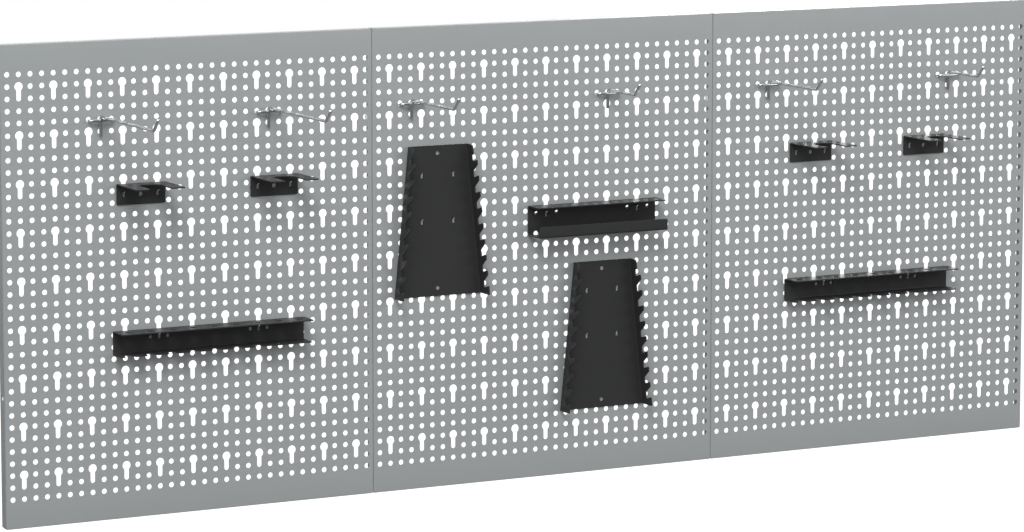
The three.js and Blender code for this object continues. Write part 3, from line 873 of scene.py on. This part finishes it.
def hook(number, panel, column, reach):
    x, z = column_x(panel, column), row_z(HOOK_ROW)
    body = f"hook_{number}"
    level = z - (HOLE - WIRE - PRONG_PLAY)
    leg = FACE - WIRE - CLEARANCE
    gap = 2 * WIRE + CLEARANCE
    bar_y = leg - gap
    bend, arm = PRONG_BEND, PRONG_ARM
    half = []
    for side in (-1, 1):
        edge = x + side * PITCH
        corner = arc((edge - side * bend, bar_y + bend, level), (0, -bend, 0), (side * bend, 0, 0), 90, 9)
        prong = arc((edge, FACE - HINGE_OUT, level + arm), (0, 0, -arm), (0, arm, 0), PRONG_ARC, 12)
        half.append([*corner, *prong])
    bar = wire(f"{body}_crossbar_wire", [*reversed(half[0]), *half[1]], 0.5, 0.5)
    hand_over(bar, body, CHROME, [f"{body}_crossbar"])
    arm_z = level + gap
    tip = math.radians(TIP_ANGLE)
    upturn = FACE - reach
    start = (x, upturn + WIRE_BEND * math.tan(tip / 2), arm_z + WIRE_BEND)
    points = [(x, leg, z - LEG_DROP), *arc((x, bar_y, level), (0, gap, 0), (0, 0, gap), 90, 10),
              *arc(start, (0, 0, -WIRE_BEND), (0, -WIRE_BEND, 0), TIP_ANGLE, 8),
              (x, upturn - TIP_LENGTH * math.cos(tip), arm_z + TIP_LENGTH * math.sin(tip))]
    hand_over(wire(f"{body}_arm_wire", points, 0.6, 1.6), body, CHROME, [f"{body}_arm"])
    bead = weld(f"{body}_weld", x, bar_y, level + gap / 2, number)
    bead.data.materials.append(CHROME)
    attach(bead, body)


# ---- bolts and nuts ----
def lathe_ring(radius, x, sides):
    return [(x, radius * math.cos(2 * math.pi * i / sides), radius * math.sin(2 * math.pi * i / sides))
            for i in range(sides)]


def hexagon(x0, x1, bore=0):
    """A hexagon with both rims turned down to a circle, bored or plain."""
    sides = 48
    chamfer = 0.35
    flat = ACROSS_FLATS / 2
    loops = []
    for x, is_round in ((x0, True), (x0 + chamfer, False), (x1 - chamfer, False), (x1, True)):
        loop = []
        for i in range(sides):
            a = 2 * math.pi * i / sides
            from_flat = (a + math.pi / 6) % (math.pi / 3) - math.pi / 6
            out = flat if is_round else flat / math.cos(from_flat)
            loop.append((x, out * math.cos(a), out * math.sin(a)))
        loops.append(loop)
    if bore:
        loops = [lathe_ring(bore, x0, sides), *loops, lathe_ring(bore, x1, sides)]
    return skin(loops, closed_ends=not bore, round_trip=bool(bore))


def skin(loops, closed_ends, round_trip):
    """Faces between neighbouring loops; the ends are closed, or joined for a bored piece."""
    sides = len(loops[0])
    points = [p for loop in loops for p in loop]
    faces = []
    pairs = list(zip(range(len(loops)), range(1, len(loops))))
    if round_trip:
        pairs.append((len(loops) - 1, 0))
    for a, b in pairs:
        for i in range(sides):
            j = (i + 1) % sides
            faces.append((a * sides + i, a * sides + j, b * sides + j, b * sides + i))
    if closed_ends:
        faces.append(tuple(reversed(range(sides))))
        faces.append(tuple((len(loops) - 1) * sides + i for i in range(sides)))
    return points, faces


def threaded(x0, x1, radius):
    """A shank with a rolled thread and a turned-down end."""
    sides = 18
    rows = int((x1 - x0) / THREAD_PITCH * 4)
    loops = []
    for k in range(rows + 1):
        x = x0 + (x1 - x0) * k / rows
        ends = min(1, (x1 - x) / 0.6)
        loop = []
        for i in range(sides):
            a = 2 * math.pi * i / sides
            phase = (x / THREAD_PITCH + i / sides) % 1
            depth = 0.34 * abs(2 * phase - 1) + 0.35 * (1 - ends)
            loop.append((x, (radius - depth) * math.cos(a), (radius - depth) * math.sin(a)))
        loops.append(loop)
    return skin(loops, True, False)


def scatter_tree():
    """Puts one piece at each point of the mesh."""
    tree = bpy.data.node_groups.new("set_out_fasteners", "GeometryNodeTree")
    for name, kind in (("Places", "Geometry"), ("Fastener", "Object"), ("Plating", "Material")):
        tree.interface.new_socket(name, in_out="INPUT", socket_type=f"NodeSocket{kind}")
    tree.interface.new_socket("Fasteners", in_out="OUTPUT", socket_type="NodeSocketGeometry")
    nodes, links = tree.nodes, tree.links
    given = nodes.new("NodeGroupInput").outputs
    info = nodes.new("GeometryNodeObjectInfo")
    links.new(given["Fastener"], info.inputs["Object"])
    spread = nodes.new("GeometryNodeInstanceOnPoints")
    links.new(given["Places"], spread.inputs["Points"])
    links.new(info.outputs["Geometry"], spread.inputs["Instance"])
    real = nodes.new("GeometryNodeRealizeInstances")
    links.new(spread.outputs[0], real.inputs[0])
    plate = nodes.new("GeometryNodeSetMaterial")
    links.new(real.outputs[0], plate.inputs["Geometry"])
    links.new(given["Plating"], plate.inputs["Material"])
    links.new(plate.outputs[0], nodes.new("NodeGroupOutput").inputs[0])
    return tree


def make_fasteners():
    tree = scatter_tree()
    places = [(side * PANEL_PITCH / 2, FACE / 2, TOP_EDGE - drop) for side in (-1, 1) for drop in BOLT_DROPS]
    grip = CLEARANCE / 2 + PANEL_SHEET + CLEARANCE
    head = hexagon(-grip - HEAD_HEIGHT, -grip)
    shank = threaded(-grip - 1, grip + NUT_HEIGHT + STICK_OUT, BOLT)
    nut = hexagon(grip, grip + NUT_HEIGHT, BOLT_HOLE)
    for kind, parts in (("bolt", [head, shank]), ("nut", [nut])):
        helper = put_in_scene(f"one_{kind}", join_sheets(f"one_{kind}", parts))
        piece = put_in_scene(f"seam_{kind}s", mesh_from(f"seam_{kind}s", places, []))
        run_tree(piece, tree, {"Fastener": helper, "Plating": ZINC})
        piece = baked(piece)
        bpy.data.objects.remove(helper)
        piece.data.shade_smooth()
        piece.data.set_sharp_from_angle(angle=math.radians(28))
        nodes = [f"{side}_seam_{level}_{kind}" for side in ("left", "right") for level in ("upper", "lower")]
        hand_over(piece, "wall", ZINC, nodes)


make_panels()
for number, (panel, column, reach) in enumerate(
        ((-1, 8, 175), (-1, 23, 175), (0, 3, 125), (0, 22, 75), (1, 5, 125), (1, 24, 75)), 1):
    hook(number, panel, column, reach)
make_fasteners()
pliers_bracket(1, -1, (10, 13), SLOT)
pliers_bracket(2, -1, (22, 25), SLOT)
pliers_bracket(3, 1, (8, 11), HOLE)
pliers_bracket(4, 1, (20, 23), HOLE)
screwdriver_rack("left", -1, (13, 22), SLOT)
screwdriver_rack("right", 1, (11, 20), HOLE)
small_parts_tray()
wrench_rack("upper", (4, 7), (10, 14), SLOT)
wrench_rack("lower", (20, 23), (21, 25), HOLE)


# ---- studio ----
def light_room(scene):
    """White behind the object; light falls from the front, and shiny parts see a dark floor."""
    world = bpy.data.worlds.new("studio")
    scene.world = world
    world.use_nodes = True
    nodes, links = world.node_tree.nodes, world.node_tree.links
    sky = nodes["Background"]
    sky.inputs["Color"].default_value = (1, 1, 1, 1)
    path = nodes.new("ShaderNodeLightPath").outputs
    direction = nodes.new("ShaderNodeTexCoord").outputs["Generated"]

    def fading(way, start, end, low, high):
        """A brightness that changes along one direction."""
        along = nodes.new("ShaderNodeVectorMath")
        along.operation = "DOT_PRODUCT"
        links.new(direction, along.inputs[0])
        along.inputs[1].default_value = way
        spread = nodes.new("ShaderNodeMapRange")
        for name, value in (("From Min", start), ("From Max", end), ("To Min", low), ("To Max", high)):
            spread.inputs[name].default_value = value
        links.new(along.outputs["Value"], spread.inputs["Value"])
        return spread.outputs["Result"]

    def choose(ray, otherwise, chosen):
        mix = nodes.new("ShaderNodeMix")
        links.new(path[ray], mix.inputs["Factor"])
        links.new(otherwise, mix.inputs["A"])
        if chosen is None:
            mix.inputs["B"].default_value = 1
        else:
            links.new(chosen, mix.inputs["B"])
        return mix.outputs["Result"]

    soft = fading((0, 1, 0), -0.25, 0.15, 0.68, 0)
    shine = fading((-0.6, 0.5, 0.7), -0.1, 0.45, 0.02, 2)
    seen = choose("Is Camera Ray", choose("Is Glossy Ray", soft, shine), None)
    links.new(seen, sky.inputs["Strength"])


def studio():
    """The camera, the floor and three soft lights."""
    scene = bpy.context.scene
    camera = bpy.data.objects.new("camera", bpy.data.cameras.new("camera"))
    scene.collection.objects.link(camera)
    scene.camera = camera
    camera.data.sensor_width = 36
    camera.data.lens = 142.96
    camera.data.shift_y = -0.1
    camera.data.clip_end = 200
    turn, tilt = math.radians(27.22), math.radians(-6.91)
    look = Vector((math.sin(turn) * math.cos(tilt), math.cos(turn) * math.cos(tilt), math.sin(tilt)))
    camera.location = Vector((-2439.62, -4661.41, 455.89)) * MM
    camera.rotation_mode = "QUATERNION"
    camera.rotation_quaternion = look.to_track_quat("-Z", "Y")

    side, level = 30000, -3000
    corners = [(x, y, level) for x, y in oblong(-side, side, -side, side)]
    floor = put_in_scene("floor", mesh_from("floor", corners, [(0, 1, 2, 3)]))
    pale, nodes, links, shader = new_finish("pale_floor", "")
    shader.inputs["Base Color"].default_value = (0.35, 0.35, 0.35, 1)
    shader.inputs["Roughness"].default_value = 0.8
    shader.inputs["Emission Color"].default_value = (1, 1, 1, 1)
    links.new(nodes.new("ShaderNodeLightPath").outputs["Is Camera Ray"], shader.inputs["Emission Strength"])
    floor.data.materials.append(pale)
    light_room(scene)

    for name, place, aim, size, power in (
            ("key", (-1800, -2600, 2600), (0, 0, -250), 1.8, 90),
            ("fill", (2600, -3000, 600), (0, 0, -300), 2.4, 32),
            ("back", (2600, 2400, 600), (0, 0, -300), 2.4, 95)):
        light = bpy.data.objects.new(name, bpy.data.lights.new(name, "AREA"))
        scene.collection.objects.link(light)
        light.data.shape = "DISK"
        light.data.size = size
        light.data.energy = power
        light.visible_camera = False
        light.location = Vector(place) * MM
        light.rotation_mode = "QUATERNION"
        light.rotation_quaternion = (Vector(aim) - Vector(place)).to_track_quat("-Z", "Y")
    scene.view_settings.view_transform = "Standard"


studio()
